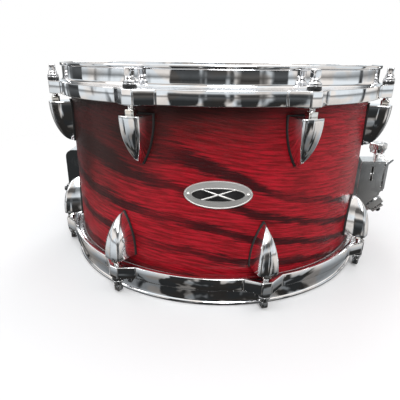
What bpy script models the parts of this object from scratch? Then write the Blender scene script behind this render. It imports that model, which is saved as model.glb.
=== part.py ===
"""Snare drum, 13 x 7 inches: stained shell, die-cast hoops, eight lugs a head, strainer and snares.

Metres, +Z up. The drum's axis is the Z axis and the bottom hoop's lip lies on z = 0.
Angles round the drum start at the badge, which faces -Y, and grow towards +X, where the strainer is.
A depth is measured from the nearer hoop's lip towards the middle of the shell.
"""

import math

import bmesh
import bpy
from mathutils import Matrix, Vector

SHELL_RADIUS = 0.1651
SHELL_DEPTH = 0.1778
SHELL_WALL = 0.0075
EDGE_ROUND = 0.0016
SNARE_BED_DEPTH = 0.0018
SNARE_BED_SPAN = math.radians(34)

HOOP_RISE = 0.0146
HOOP_HEIGHT = 0.0297
COLLAR_DEPTH = 0.0126
BAND_DEPTH = 0.0174
SHELF_DEPTH = 0.0160
COLLAR_INNER, COLLAR_OUTER = 0.1678, 0.1712
LIP_OUTER, LIP_ROUND, LIP_DEPTH = 0.1728, 0.0008, 0.0026
COVE_RADIUS, COVE_DEPTH = 0.1726, 0.0158
BAND_INNER, BAND_OUTER = 0.1722, 0.1762
EAR_REACH, EAR_ROOT = 0.1855, 0.1735
EAR_FACE_HALF, EAR_ROOT_HALF = 0.0046, 0.0212
EAR_HOLE_RADIUS = 0.0035
GATE_REACH = (0.1600, 0.1765)
GATE_HALF = 0.0110
GATE_TOP, GATE_BOTTOM = 0.0035, 0.0135

DRUM_HEIGHT = SHELL_DEPTH + 2 * HOOP_RISE
RING_STEPS = 56
GAP = 0.0003

FILM_THICKNESS = 0.0004
FILM_SKIRT_END = 0.0250
FLESH_HOOP_INNER, FLESH_HOOP_OUTER = 0.1662, 0.1716
FLESH_HOOP_END = 0.0255

LUGS_PER_HEAD = 8
TOP_LUG_START = math.radians(22.5)
BOTTOM_LUG_OFFSET = math.radians(-8.5)
ROD_CIRCLE = 0.1803
LUG_END_DEPTH = 0.0375
LUG_LENGTH = 0.0415
LUG_HALF_WIDTH = 0.0110
LUG_REACH = 0.0210
LUG_SEAT = 0.0016
NUT_SIDE, NUT_HEIGHT = 0.0078, 0.0048
LUG_BORE_RADIUS, LUG_BORE_DEPTH = 0.0031, 0.0215

ROD_RADIUS = 0.00275
ROD_END_DEPTH = 0.0575
ROD_SIDES = 8
FLANGE_RADIUS, FLANGE_BOTTOM, FLANGE_TOP = 0.0052, 0.0136, 0.0119
DOME_RADIUS, DOME_DEPTH = 0.0042, 0.0113
SHOULDER_RADIUS, SHOULDER_TOP = 0.0034, 0.0082
DRIVE_HALF, DRIVE_TOP = 0.0031, 0.0022

BADGE_HALF_WIDTH, BADGE_HALF_HEIGHT, BADGE_THICKNESS = 0.029, 0.0125, 0.0012
BADGE_HEIGHT = 0.1050
BADGE_STEPS = 28
VENT_RADIUS = 0.0060
VENT_HEIGHT = 0.1035

CASTING_BACK = SHELL_RADIUS + 0.0005
MOUNT_SCREW_RADIUS, MOUNT_HEAD_RADIUS, MOUNT_HEAD_HEIGHT = 0.0021, 0.0042, 0.0030
MOUNT_SCREW_TIP, TAPPED_END = 0.1725, 0.1740
STRAINER_SCREW_HEIGHTS = (0.0600, 0.0850)
BUTT_SCREW_HEIGHTS = (0.0680, 0.0920)

SCREW_X = 0.1990
KNOB_HEIGHT = 0.1040
CARRIAGE_HALF, POCKET_HALF, TONGUE_HALF = 0.0084, 0.0063, 0.0060
LEVER_PIVOT_X, LEVER_PIVOT_Z = 0.2025, 0.0570
CLAMP_X, CLAMP_Z = 0.2050, 0.0370
STRAP_SLOPE = math.radians(38)
STRAP_HALF, STRAP_THICKNESS = 0.0070, 0.0005
CLAMP_SCREW_SPREAD = 0.0088
CLAMP_HOLE_RADIUS, CLAMP_SHANK_RADIUS, CLAMP_HEAD_RADIUS = 0.0015, 0.0012, 0.0030
BUTT_CLAMP_HEIGHT = 0.0535

SNARE_STRANDS = 10
SNARE_SPACING = 0.0058
SNARE_PLATE_INNER, SNARE_PLATE_OUTER = 0.1280, 0.1390
SNARE_PLATE_HALF = 0.0300
STRAND_HALF = 0.0009


# Materials

def finish(name, colour, roughness, metallic=0.0, alpha=1.0):
    material = bpy.data.materials.new(name)
    material.use_nodes = True
    shader = material.node_tree.nodes["Principled BSDF"]
    shader.inputs["Base Color"].default_value = (*colour, 1.0)
    shader.inputs["Roughness"].default_value = roughness
    shader.inputs["Metallic"].default_value = metallic
    shader.inputs["Alpha"].default_value = alpha
    return material


# Shapes: each makes a mesh object in the scene

def piece(name, mesh, material):
    obj = bpy.data.objects.new(name, mesh)
    bpy.context.scene.collection.objects.link(obj)
    mesh.materials.append(material)
    mesh.shade_smooth()
    mesh.set_sharp_from_angle(angle=math.radians(32))
    return obj


def mesh_of(name, work):
    bmesh.ops.recalc_face_normals(work, faces=work.faces)
    mesh = bpy.data.meshes.new(name)
    work.to_mesh(mesh)
    work.free()
    return mesh


def turned(name, profile, steps):
    """A closed profile of (radius, height) turned about Z. Points on the axis become one vertex."""
    work = bmesh.new()
    rings = []
    for radius, height in profile:
        if radius == 0:
            rings.append([work.verts.new((0, 0, height))] * steps)
            continue
        turns = [2 * math.pi * step / steps for step in range(steps)]
        rings.append([work.verts.new((radius * math.cos(t), radius * math.sin(t), height)) for t in turns])
    for ring, after in zip(rings, rings[1:] + rings[:1]):
        for step in range(steps):
            ahead = (step + 1) % steps
            corners = list(dict.fromkeys((ring[step], ring[ahead], after[ahead], after[step])))
            if len(corners) > 2:
                work.faces.new(corners)
    return mesh_of(name, work)


def lofted(name, rings):
    """Rings with the same number of points, skinned in order and capped at both ends."""
    work = bmesh.new()
    made = [[work.verts.new(point) for point in ring] for ring in rings]
    for ring, after in zip(made, made[1:]):
        for side in range(len(ring)):
            ahead = (side + 1) % len(ring)
            work.faces.new((ring[side], ring[ahead], after[ahead], after[side]))
    work.faces.new(made[0])
    work.faces.new(made[-1])
    return mesh_of(name, work)


def slab(name, outline, low, high):
    """An outline of (x, z) points, extruded along Y from low to high."""
    return lofted(name, [[(x, y, z) for x, z in outline] for y in (low, high)])


def block(name, low, high):
    outline = [(low[0], low[2]), (high[0], low[2]), (high[0], high[2]), (low[0], high[2])]
    return slab(name, outline, low[1], high[1])


def rod_between(name, start, end, radius, sides=10):
    """A plain round bar between two points."""
    start, end = Vector(start), Vector(end)
    turn = (end - start).to_track_quat("Z", "Y").to_matrix()
    circle = [
        turn @ Vector((radius * math.cos(a), radius * math.sin(a), 0))
        for a in (2 * math.pi * (side + 0.5) / sides for side in range(sides))
    ]
    return lofted(name, [[centre + point for point in circle] for centre in (start, end)])


def combined(obj, mesh, operation):
    """Applies one Boolean at once: the other shape is used up."""
    other = bpy.data.objects.new(mesh.name, mesh)
    bpy.context.scene.collection.objects.link(other)
    modifier = obj.modifiers.new(operation, "BOOLEAN")
    modifier.operation = operation
    modifier.object = other
    bpy.context.view_layer.update()
    result = bpy.data.meshes.new_from_object(obj.evaluated_get(bpy.context.evaluated_depsgraph_get()))
    obj.modifiers.clear()
    obj.data = result
    bpy.data.objects.remove(other)
    return obj


def joined(obj, mesh):
    return combined(obj, mesh, "UNION")


def cut(obj, mesh):
    return combined(obj, mesh, "DIFFERENCE")


def turn_to(angle):
    """Turns a piece modelled pointing along +X to an angle round the drum."""
    return angle - math.radians(90)


def seat(obj, angle, bottom=False, radius=0.0):
    """Places a piece modelled with its hoop's lip at z = 0 and the shell below it."""
    turn = turn_to(angle)
    obj.rotation_euler = (math.pi if bottom else 0.0, 0.0, turn)
    height = 0.0 if bottom else DRUM_HEIGHT
    obj.location = (radius * math.cos(turn), radius * math.sin(turn), height)
    return obj


def lug_angles(bottom):
    start = TOP_LUG_START + (BOTTOM_LUG_OFFSET if bottom else 0.0)
    return [start + 2 * math.pi * number / LUGS_PER_HEAD for number in range(LUGS_PER_HEAD)]


# Shell: a plywood tube with 45 degree bearing edges, snare beds and drilled holes

def build_shell():
    inner = SHELL_RADIUS - SHELL_WALL
    crest = SHELL_RADIUS - EDGE_ROUND
    bevel = crest - inner
    low, high = HOOP_RISE, HOOP_RISE + SHELL_DEPTH
    profile = [
        (SHELL_RADIUS, high - EDGE_ROUND), (SHELL_RADIUS, low + EDGE_ROUND), (crest, low),
        (inner, low + bevel), (inner, high - bevel), (crest, high),
    ]
    mesh = turned("shell", profile, RING_STEPS)
    for vertex in mesh.vertices:
        away = abs(abs(math.atan2(vertex.co.x, -vertex.co.y)) - math.radians(90))
        if vertex.co.z < low + bevel / 2 and away < SNARE_BED_SPAN / 2:
            vertex.co.z += SNARE_BED_DEPTH * math.cos(math.pi * away / SNARE_BED_SPAN) ** 2
    stain = finish("red_stained_ash", (0.30, 0.012, 0.022), 0.32)
    shell = piece("shell", mesh, stain)
    hole = MOUNT_SCREW_RADIUS + GAP
    inside, outside = inner - 0.0070, SHELL_RADIUS + 0.0070
    for sign, heights in ((1, STRAINER_SCREW_HEIGHTS), (-1, BUTT_SCREW_HEIGHTS)):
        for height in heights:
            ends = ((sign * inside, 0, height), (sign * outside, 0, height))
            cut(shell, rod_between("screw_hole", *ends, hole))
    ends = ((0, inside, VENT_HEIGHT), (0, outside, VENT_HEIGHT))
    cut(shell, rod_between("vent_hole", *ends, VENT_RADIUS, 20))


# Heads: a film drawn over the bearing edge, held in a round flesh hoop

def build_heads():
    coated = finish("coated_film", (0.86, 0.86, 0.83), 0.62)
    clear = finish("clear_film", (0.85, 0.87, 0.88), 0.18, alpha=0.35)
    alloy = finish("flesh_hoop_alloy", (0.72, 0.73, 0.74), 0.35, metallic=1.0)
    face = HOOP_RISE - GAP - FILM_THICKNESS
    skirt = SHELL_RADIUS + GAP
    skirt_outer = skirt + 0.0005
    for name, film, bottom in (("batter", coated, False), ("snare_side", clear, True)):
        profile = [
            (0, -face), (skirt - 0.0006, -face), (skirt_outer, -face - 0.0007),
            (skirt_outer, -FILM_SKIRT_END), (skirt, -FILM_SKIRT_END),
            (skirt, -face - FILM_THICKNESS), (0, -face - FILM_THICKNESS),
        ]
        seat(piece(f"{name}_head", turned(name, profile, RING_STEPS), film), 0, bottom)
        ring = [
            (FLESH_HOOP_OUTER, -SHELF_DEPTH - GAP), (FLESH_HOOP_OUTER, -FLESH_HOOP_END),
            (FLESH_HOOP_INNER, -FLESH_HOOP_END), (FLESH_HOOP_INNER, -SHELF_DEPTH - GAP),
        ]
        seat(piece(f"{name}_flesh_hoop", turned(name, ring, RING_STEPS), alloy), 0, bottom)


# Hoops: die-cast, with a collar over the head, a heavier band below it and an ear for each rod

def build_hoop(name, bottom):
    def level(depth):
        return depth if bottom else DRUM_HEIGHT - depth

    profile = [
        (COLLAR_INNER, 0), (LIP_OUTER - LIP_ROUND, 0), (LIP_OUTER, LIP_ROUND), (LIP_OUTER, LIP_DEPTH),
        (COLLAR_OUTER, LIP_DEPTH + 0.0010), (COLLAR_OUTER, COLLAR_DEPTH), (COVE_RADIUS, COVE_DEPTH),
        (BAND_OUTER, BAND_DEPTH), (BAND_OUTER, HOOP_HEIGHT), (BAND_INNER, HOOP_HEIGHT),
        (BAND_INNER, SHELF_DEPTH), (COLLAR_INNER, SHELF_DEPTH),
    ]
    chrome = finish(f"{name}_chrome", (0.80, 0.80, 0.81), 0.06, metallic=1.0)
    ring = turned(name, [(radius, level(depth)) for radius, depth in profile], RING_STEPS)
    hoop = piece(name, ring, chrome)
    for angle in lug_angles(bottom):
        ear = lofted("ear", [
            [(EAR_ROOT, -EAR_ROOT_HALF, z), (EAR_REACH, -EAR_FACE_HALF, z),
             (EAR_REACH, EAR_FACE_HALF, z), (EAR_ROOT, EAR_ROOT_HALF, z)]
            for z in (level(BAND_DEPTH), level(HOOP_HEIGHT - 0.0001))
        ])
        above, below = level(BAND_DEPTH - 0.0070), level(HOOP_HEIGHT + 0.0050)
        hole = rod_between("ear_hole", (ROD_CIRCLE, 0, above), (ROD_CIRCLE, 0, below), EAR_HOLE_RADIUS)
        for mesh in (ear, hole):
            mesh.transform(Matrix.Rotation(turn_to(angle), 4, "Z"))
        joined(hoop, ear)
        cut(hoop, hole)
    if bottom:
        near, far = GATE_REACH
        for low, high in ((near, far), (-far, -near)):
            cut(hoop, block("snare_gate", (low, -GATE_HALF, GATE_TOP), (high, GATE_HALF, GATE_BOTTOM)))


# Lugs: a pointed casting on the shell, with the swivel nut's neck at its flat end

def lug_mesh():
    section = [(-1, 0), (-0.97, 0.45), (-0.82, 0.93), (0, 1.0), (0.82, 0.93), (0.97, 0.45), (1, 0)]
    rings = []
    for share in (0.0, 0.30, 0.52, 0.70, 0.84, 0.94, 0.985):
        half = LUG_HALF_WIDTH * (1 - share**2.3)
        reach = LUG_REACH * math.sqrt(1 - share**2)
        depth = LUG_END_DEPTH + LUG_LENGTH * share
        base = SHELL_RADIUS + LUG_SEAT
        rings.append([(base + reach * out, half * across, -depth) for across, out in section])
    return lofted("lug", rings)


def build_lugs():
    for row, bottom in (("top", False), ("bottom", True)):
        chrome = finish(f"{row}_lug_chrome", (0.80, 0.80, 0.81), 0.06, metallic=1.0)
        for number, angle in enumerate(lug_angles(bottom), 1):
            lug = piece(f"{row}_lug_{number}", lug_mesh(), chrome)
            side, end = NUT_SIDE / 2, -LUG_END_DEPTH
            neck = block("nut_neck", (ROD_CIRCLE - side, -side, end - 0.001),
                         (ROD_CIRCLE + side, side, end + NUT_HEIGHT))
            joined(lug, neck)
            deep = end - LUG_BORE_DEPTH
            cut(lug, rod_between("bore", (ROD_CIRCLE, 0, 0), (ROD_CIRCLE, 0, deep), LUG_BORE_RADIUS))
            seat(lug, angle, bottom)


# Tension rods: threaded shank, flange, domed shoulder and square drive, turning about their own axis

def rod_mesh():
    def circle(radius, depth):
        turns = [2 * math.pi * side / ROD_SIDES for side in range(ROD_SIDES)]
        return [(radius * math.cos(turn), radius * math.sin(turn), -depth) for turn in turns]

    def square(half, depth):
        points = [(x / max(abs(x), abs(y)), y / max(abs(x), abs(y))) for x, y, _ in circle(1.0, 0)]
        return [(half * x, half * y, -depth) for x, y in points]

    return lofted("rod", [
        circle(ROD_RADIUS, ROD_END_DEPTH), circle(ROD_RADIUS, FLANGE_BOTTOM),
        circle(FLANGE_RADIUS, FLANGE_BOTTOM), circle(FLANGE_RADIUS, FLANGE_TOP),
        circle(DOME_RADIUS, DOME_DEPTH), circle(SHOULDER_RADIUS, SHOULDER_TOP),
        square(DRIVE_HALF, SHOULDER_TOP - 0.0002), square(DRIVE_HALF, DRIVE_TOP),
    ])


def build_rods():
    for row, bottom in (("top", False), ("bottom", True)):
        chrome = finish(f"{row}_rod_chrome", (0.78, 0.78, 0.79), 0.09, metallic=1.0)
        for number, angle in enumerate(lug_angles(bottom), 1):
            rod = piece(f"{row}_tension_rod_{number}", rod_mesh(), chrome)
            seat(rod, angle, bottom, ROD_CIRCLE)


# Badge and vent grommet

def build_badge():
    steps = BADGE_STEPS
    rims = []
    for radius in (SHELL_RADIUS + 0.0004, SHELL_RADIUS + 0.0004 + BADGE_THICKNESS):
        rim = []
        for turn in (2 * math.pi * step / steps for step in range(steps)):
            across = BADGE_HALF_WIDTH * math.cos(turn) / SHELL_RADIUS
            height = BADGE_HEIGHT + BADGE_HALF_HEIGHT * math.sin(turn)
            rim.append((radius * math.sin(across), -radius * math.cos(across), height))
        rims.append(rim)
    work = bmesh.new()
    back, front = [[work.verts.new(point) for point in rim] for rim in rims]
    for step in range(steps):
        ahead = (step + 1) % steps
        work.faces.new((back[step], back[ahead], front[ahead], front[step]))
    for rim in (back, front):
        for step in range(1, steps // 2):
            upper = (rim[step - 1], rim[step])
            lower = (rim[(steps - step) % steps], rim[(steps - step + 1) % steps])
            work.faces.new(list(dict.fromkeys(upper + lower)))
        work.faces.new((rim[steps // 2 - 1], rim[steps // 2], rim[steps // 2 + 1]))
    silver = finish("badge_silver", (0.70, 0.70, 0.70), 0.22, metallic=1.0)
    piece("badge", mesh_of("badge", work), silver)


def build_grommet():
    outside, inside = SHELL_RADIUS + 0.0005, SHELL_RADIUS - SHELL_WALL - 0.0005
    profile = [
        (0.0047, outside + 0.0010), (0.0085, outside + 0.0006), (0.0085, outside),
        (VENT_RADIUS - GAP, outside), (VENT_RADIUS - GAP, inside),
        (0.0070, inside), (0.0070, inside - 0.0008), (0.0047, inside - 0.0010),
    ]
    chrome = finish("grommet_chrome", (0.80, 0.80, 0.81), 0.10, metallic=1.0)
    grommet = piece("vent_grommet", turned("vent_grommet", profile, 20), chrome)
    grommet.rotation_euler = (math.radians(-90), 0, 0)
    grommet.location = (0, 0, VENT_HEIGHT)


# Strainer, pointing along +X: a housing, a knob that raises the carriage, a lever that drops the clamp

def mount_screw(name, sign, height, material):
    """A pan-head screw put in from inside the shell."""
    def bar(label, start, end, radius):
        return rod_between(label, (sign * start, 0, height), (sign * end, 0, height), radius)

    seat_x = SHELL_RADIUS - SHELL_WALL - GAP
    head = piece(name, bar(name, seat_x - MOUNT_HEAD_HEIGHT, seat_x, MOUNT_HEAD_RADIUS), material)
    joined(head, bar("shank", seat_x - 0.001, MOUNT_SCREW_TIP, MOUNT_SCREW_RADIUS))


def tapped_hole(sign, height):
    start, end = (sign * 0.160, 0, height), (sign * TAPPED_END, 0, height)
    return rod_between("tapped_hole", start, end, MOUNT_SCREW_RADIUS + GAP)


def build_strainer_base():
    chrome = finish("strainer_chrome", (0.80, 0.80, 0.81), 0.08, metallic=1.0)
    base = piece("strainer_base", slab("strainer_base", [
        (CASTING_BACK, 0.046), (0.1760, 0.046), (0.1780, 0.050), (0.1780, 0.096),
        (0.1710, 0.106), (0.1690, 0.116), (CASTING_BACK, 0.116),
    ], -0.0125, 0.0125), chrome)
    cheek = [
        (0.1770, 0.050), (0.1830, 0.0405), (0.1900, 0.0405), (0.2050, 0.0540),
        (0.2050, 0.0950), (0.1770, 0.0950),
    ]
    for low, high in ((-0.0130, -0.0110), (0.0110, 0.0130)):
        joined(base, slab("cheek", cheek, low, high))
    joined(base, block("bridge", (0.1775, -0.0129, 0.0932), (0.2062, 0.0129, 0.0968)))
    cut(base, rod_between("screw_clearance", (SCREW_X, 0, 0.090), (SCREW_X, 0, 0.100), 0.0028))
    cut(base, block("guide_slot", (0.1900, -0.0140, 0.0720), (0.1936, 0.0140, 0.0905)))
    steel = finish("strainer_screw_steel", (0.55, 0.55, 0.56), 0.3, metallic=1.0)
    for number, height in enumerate(STRAINER_SCREW_HEIGHTS, 1):
        cut(base, tapped_hole(1, height))
        mount_screw(f"strainer_screw_{number}", 1, height, steel)


def build_knob():
    profile = [
        (0, -0.0370), (0.0023, -0.0370), (0.0023, -0.0068), (0.0031, -0.0068), (0.0031, -0.0008),
        (0.0066, 0), (0.0084, 0.0026), (0.0100, 0.0085), (0.0100, 0.0118), (0.0090, 0.0134), (0, 0.0134),
    ]
    chrome = finish("knob_chrome", (0.80, 0.80, 0.81), 0.12, metallic=1.0)
    knob = piece("strainer_knob", turned("strainer_knob", profile, 20), chrome)
    knob.location = (SCREW_X, 0, KNOB_HEIGHT)


def build_carriage():
    nose = [
        (LEVER_PIVOT_X + 0.0039 * math.cos(turn), LEVER_PIVOT_Z + 0.0039 * math.sin(turn))
        for turn in (math.radians(degrees) for degrees in range(-80, 81, 32))
    ]
    outline = [
        (0.1800, 0.0500), (0.2005, 0.0500), *nose, (0.2045, 0.0640), (0.2045, 0.0890), (0.1800, 0.0890),
    ]
    chrome = finish("carriage_chrome", (0.75, 0.75, 0.76), 0.12, metallic=1.0)
    body = slab("strainer_carriage", outline, -CARRIAGE_HALF, CARRIAGE_HALF)
    carriage = piece("strainer_carriage", body, chrome)
    joined(carriage, rod_between("guide_pins", (0.1918, -0.0126, 0.0800), (0.1918, 0.0126, 0.0800), 0.0014))
    cut(carriage, rod_between("screw_hole", (SCREW_X, 0, 0.0950), (SCREW_X, 0, 0.0605), 0.0027))
    ends = ((LEVER_PIVOT_X, side, LEVER_PIVOT_Z) for side in (-0.0120, 0.0120))
    cut(carriage, rod_between("pin_hole", *ends, 0.0022))
    cut(carriage, block("tongue_pocket", (0.1860, -POCKET_HALF, 0.0450), (0.1907, POCKET_HALF, 0.0700)))


def build_lever():
    plate = [
        (0.0045, 0.0015), (0.0075, 0.0015), (0.0075, 0.0360), (0.0128, 0.0415), (0.0110, 0.0434),
        (0.0045, 0.0372),
    ]
    chrome = finish("lever_chrome", (0.80, 0.80, 0.81), 0.06, metallic=1.0)
    lever = piece("strainer_lever", slab("strainer_lever", plate, -0.0128, 0.0128), chrome)
    for low, high in ((-0.0140, -0.0107), (0.0107, 0.0140)):
        cut(lever, block("cheek_relief", (0.0040, low, 0.0), (0.0080, high, 0.0050)))
    arm = [(-0.0035, -0.0030), (0.0, -0.0042), (0.0050, 0.0004), (0.0050, 0.0080), (-0.0035, 0.0040)]
    for low, high in ((-0.0106, -0.0088), (0.0088, 0.0106)):
        joined(lever, slab("arm", arm, low, high))
    joined(lever, rod_between("pivot_pin", (0, -0.0100, 0), (0, 0.0100, 0), 0.0018))
    lever.location = (LEVER_PIVOT_X, 0, LEVER_PIVOT_Z)


def along_strap(ahead, out):
    """A point of the clamp: ahead runs up the strap and out is square to it, away from the drum."""
    across, up = math.cos(STRAP_SLOPE), math.sin(STRAP_SLOPE)
    return (CLAMP_X + ahead * across + out * up, CLAMP_Z + ahead * up - out * across)


def build_clamp():
    dark = finish("clamp_chrome", (0.75, 0.75, 0.76), 0.12, metallic=1.0)
    corners = ((-0.0080, -0.0006), (0.0110, -0.0006), (0.0110, -0.0088), (-0.0080, -0.0088))
    outline = [along_strap(*corner) for corner in corners]
    clamp = piece("strap_clamp_block", slab("strap_clamp_block", outline, -0.0107, 0.0107), dark)
    joined(clamp, block("tongue", (0.1863, -TONGUE_HALF, 0.0360), (0.1904, TONGUE_HALF, 0.0670)))
    web = [(0.1863, 0.0360), (0.1990, 0.0360), (0.1990, 0.0410), (0.1863, 0.0480)]
    joined(clamp, slab("web", web, -TONGUE_HALF, TONGUE_HALF))
    corners = ((-0.0065, 0.0006), (0.0085, 0.0006), (0.0085, 0.0030), (-0.0065, 0.0030))
    outline = [along_strap(*corner) for corner in corners]
    jaw = piece("strap_clamp_jaw", slab("strap_clamp_jaw", outline, -0.0120, 0.0120), dark)
    steel = finish("clamp_screw_steel", (0.25, 0.25, 0.26), 0.25, metallic=1.0)
    for number, side in enumerate((-CLAMP_SCREW_SPREAD, CLAMP_SCREW_SPREAD), 1):
        points = [along_strap(0.001, out) for out in (-0.0060, 0.0040, 0.0033, 0.0068)]
        tip, neck, seat_end, top = [(x, side, z) for x, z in points]
        for target in (clamp, jaw):
            cut(target, rod_between("clamp_hole", tip, neck, CLAMP_HOLE_RADIUS))
        head = rod_between("head", seat_end, top, CLAMP_HEAD_RADIUS)
        screw = piece(f"strap_clamp_screw_{number}", head, steel)
        start = along_strap(0.001, -0.0055)
        joined(screw, rod_between("shank", (start[0], side, start[1]), neck, CLAMP_SHANK_RADIUS))


# Butt plate, pointing along -X: a casting that holds the other strap still

def build_butt():
    chrome = finish("butt_chrome", (0.80, 0.80, 0.81), 0.07, metallic=1.0)
    crown = [
        (0.1772 + 0.0090 * math.sin(turn), 0.0960 + 0.0090 * math.cos(turn))
        for turn in (math.radians(degrees) for degrees in range(0, 91, 18))
    ]
    outline = [(0.1862, 0.0465), (0.1740, 0.0465), (CASTING_BACK, 0.0560), (CASTING_BACK, 0.1050), *crown]
    plate = piece("butt_plate", slab("butt_plate", [(-x, z) for x, z in outline], -0.0130, 0.0130), chrome)
    dull = finish("butt_jaw_chrome", (0.75, 0.75, 0.76), 0.12, metallic=1.0)
    jaw = piece("butt_jaw", block("butt_jaw", (-0.1898, -0.0120, 0.0475), (-0.1872, 0.0120, 0.0595)), dull)
    steel = finish("butt_screw_steel", (0.35, 0.35, 0.36), 0.3, metallic=1.0)
    for number, side in enumerate((-CLAMP_SCREW_SPREAD, CLAMP_SCREW_SPREAD), 1):
        def bar(label, start, end, radius, side=side):
            ends = [(-out, side, BUTT_CLAMP_HEIGHT) for out in (start, end)]
            return rod_between(label, *ends, radius)

        for target in (plate, jaw):
            cut(target, bar("clamp_hole", 0.1785, 0.1910, CLAMP_HOLE_RADIUS))
        screw = piece(f"butt_clamp_screw_{number}", bar("head", 0.1935, 0.1901, CLAMP_HEAD_RADIUS), steel)
        joined(screw, bar("shank", 0.1905, 0.1790, CLAMP_SHANK_RADIUS))
    for number, height in enumerate(BUTT_SCREW_HEIGHTS, 1):
        cut(plate, tapped_hole(-1, height))
        mount_screw(f"butt_mount_screw_{number}", -1, height, steel)


# Snares: two straps through the hoop's gates, and the wires between them under the snare-side head

def ribbon(name, path, sign, material):
    """A flat strap along a path of (x, z) points."""
    half = STRAP_THICKNESS / 2
    upper, lower = [], []
    for place, point in enumerate(path):
        before, after = path[max(place - 1, 0)], path[min(place + 1, len(path) - 1)]
        along = Vector((after[0] - before[0], after[1] - before[1])).normalized()
        upper.append((sign * (point[0] - half * along.y), point[1] + half * along.x))
        lower.append((sign * (point[0] + half * along.y), point[1] - half * along.x))
    return piece(name, slab(name, upper + lower[::-1], -STRAP_HALF, STRAP_HALF), material)


def build_snares():
    strap = finish("strap_mylar", (0.80, 0.80, 0.78), 0.35)
    under = [(0.1300, 0.0112), (0.1580, 0.0112), (0.1660, 0.0108), (0.1705, 0.0103)]
    tail = [along_strap(ahead, 0.0) for ahead in (-0.0360, 0.0, 0.0130)]
    ribbon("strainer_strap", [*under, (0.1735, 0.0118), *tail], 1, strap)
    rise = [(0.1760, 0.0120), (0.1835, 0.0200), (0.18665, 0.0300), (0.18665, 0.0630)]
    ribbon("butt_strap", under + rise, -1, strap)
    wire = finish("snare_wire_steel", (0.75, 0.75, 0.74), 0.2, metallic=1.0)
    ends = SNARE_PLATE_INNER + 0.004
    snares = None
    for strand in range(SNARE_STRANDS):
        side = SNARE_SPACING * (strand - (SNARE_STRANDS - 1) / 2)
        bar = block("strand", (-ends, side - STRAND_HALF, 0.0121), (ends, side + STRAND_HALF, 0.0135))
        snares = joined(snares, bar) if snares else piece("snare_wires", bar, wire)
    for low, high in ((SNARE_PLATE_INNER, SNARE_PLATE_OUTER), (-SNARE_PLATE_OUTER, -SNARE_PLATE_INNER)):
        joined(snares, block("end_plate", (low, -SNARE_PLATE_HALF, 0.0118), (high, SNARE_PLATE_HALF, 0.0130)))


for startup in list(bpy.data.objects):
    bpy.data.objects.remove(startup)
build_shell()
build_heads()
build_hoop("top_hoop", False)
build_hoop("bottom_hoop", True)
build_lugs()
build_rods()
build_badge()
build_grommet()
build_strainer_base()
build_knob()
build_carriage()
build_lever()
build_clamp()
build_butt()
build_snares()
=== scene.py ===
"""Snare drum in red stained ash with chromed die-cast hoops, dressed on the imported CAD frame.

Metres, +Z up. The drum's axis is the Z axis, and an azimuth is measured from the badge, on -Y, towards +X.
A depth is measured from the nearer hoop's lip towards the middle of the shell.
"""

import math

import bmesh
import bpy
from mathutils import Matrix, Vector


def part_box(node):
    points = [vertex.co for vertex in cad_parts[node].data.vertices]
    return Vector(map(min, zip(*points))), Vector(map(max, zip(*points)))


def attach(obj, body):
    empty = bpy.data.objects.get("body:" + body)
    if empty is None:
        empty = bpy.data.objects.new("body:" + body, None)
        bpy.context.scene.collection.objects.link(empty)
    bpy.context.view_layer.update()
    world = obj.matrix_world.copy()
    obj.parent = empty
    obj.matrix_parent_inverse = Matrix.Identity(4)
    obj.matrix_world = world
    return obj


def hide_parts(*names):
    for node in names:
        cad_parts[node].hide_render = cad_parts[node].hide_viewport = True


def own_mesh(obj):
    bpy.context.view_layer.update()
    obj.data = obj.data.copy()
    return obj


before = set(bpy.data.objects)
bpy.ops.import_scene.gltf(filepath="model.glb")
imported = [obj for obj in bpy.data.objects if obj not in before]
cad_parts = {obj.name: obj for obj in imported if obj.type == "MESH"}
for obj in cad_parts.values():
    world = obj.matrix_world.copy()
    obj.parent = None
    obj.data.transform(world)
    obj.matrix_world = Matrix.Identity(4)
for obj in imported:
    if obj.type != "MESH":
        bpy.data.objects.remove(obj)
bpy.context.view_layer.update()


# Shell
# A moulded tube of thin plies with an ash veneer outside, its grain running round the drum. The veneer is
# stained red, darker in a burst at its top and bottom edges with painted shade over its left side, and
# lacquered satin; the inside is left natural. Both edges are cut at 45 degrees, and the lower one dips a
# little at each end of the snares.

shell_low, shell_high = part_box("shell")
SHELL_RADIUS = shell_high.x
SHELL_BOTTOM, SHELL_TOP = shell_low.z, shell_high.z
DRUM_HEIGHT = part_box("top_hoop")[1].z
SHELL_WALL, VENEER_DEPTH = 0.0075, 0.0012
EDGE_ROUND = 0.0016
SNARE_BED_DEPTH = 0.0018
SNARE_BED_SPAN = math.radians(34)
FINE_STEPS = 288

STAIN_BRIGHT = (0.390, 0.0055, 0.016)
STAIN_DEEP = (0.165, 0.002, 0.005)
STAIN_DARK = (0.022, 0.0028, 0.004)
STAIN_BURST_AND_SHADE = (0.020, 0.0065, 0.005)
NATURAL_LIGHT = (0.62, 0.43, 0.24)
NATURAL_DARK = (0.36, 0.21, 0.10)


def add_piece(name, work, finish, body="drum", stands_for=(), sharp=38):
    """Turns a bmesh in the drum's frame into a shaded piece that moves with a body."""
    bmesh.ops.remove_doubles(work, verts=work.verts, dist=1e-7)
    bmesh.ops.recalc_face_normals(work, faces=work.faces)
    mesh = bpy.data.meshes.new(name)
    work.to_mesh(mesh)
    work.free()
    mesh.shade_smooth()
    mesh.set_sharp_from_angle(angle=math.radians(sharp))
    mesh.materials.append(finish)
    piece = bpy.data.objects.new(name, mesh)
    bpy.context.scene.collection.objects.link(piece)
    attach(piece, body)
    if stands_for:
        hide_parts(*stands_for)
    return piece


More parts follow.
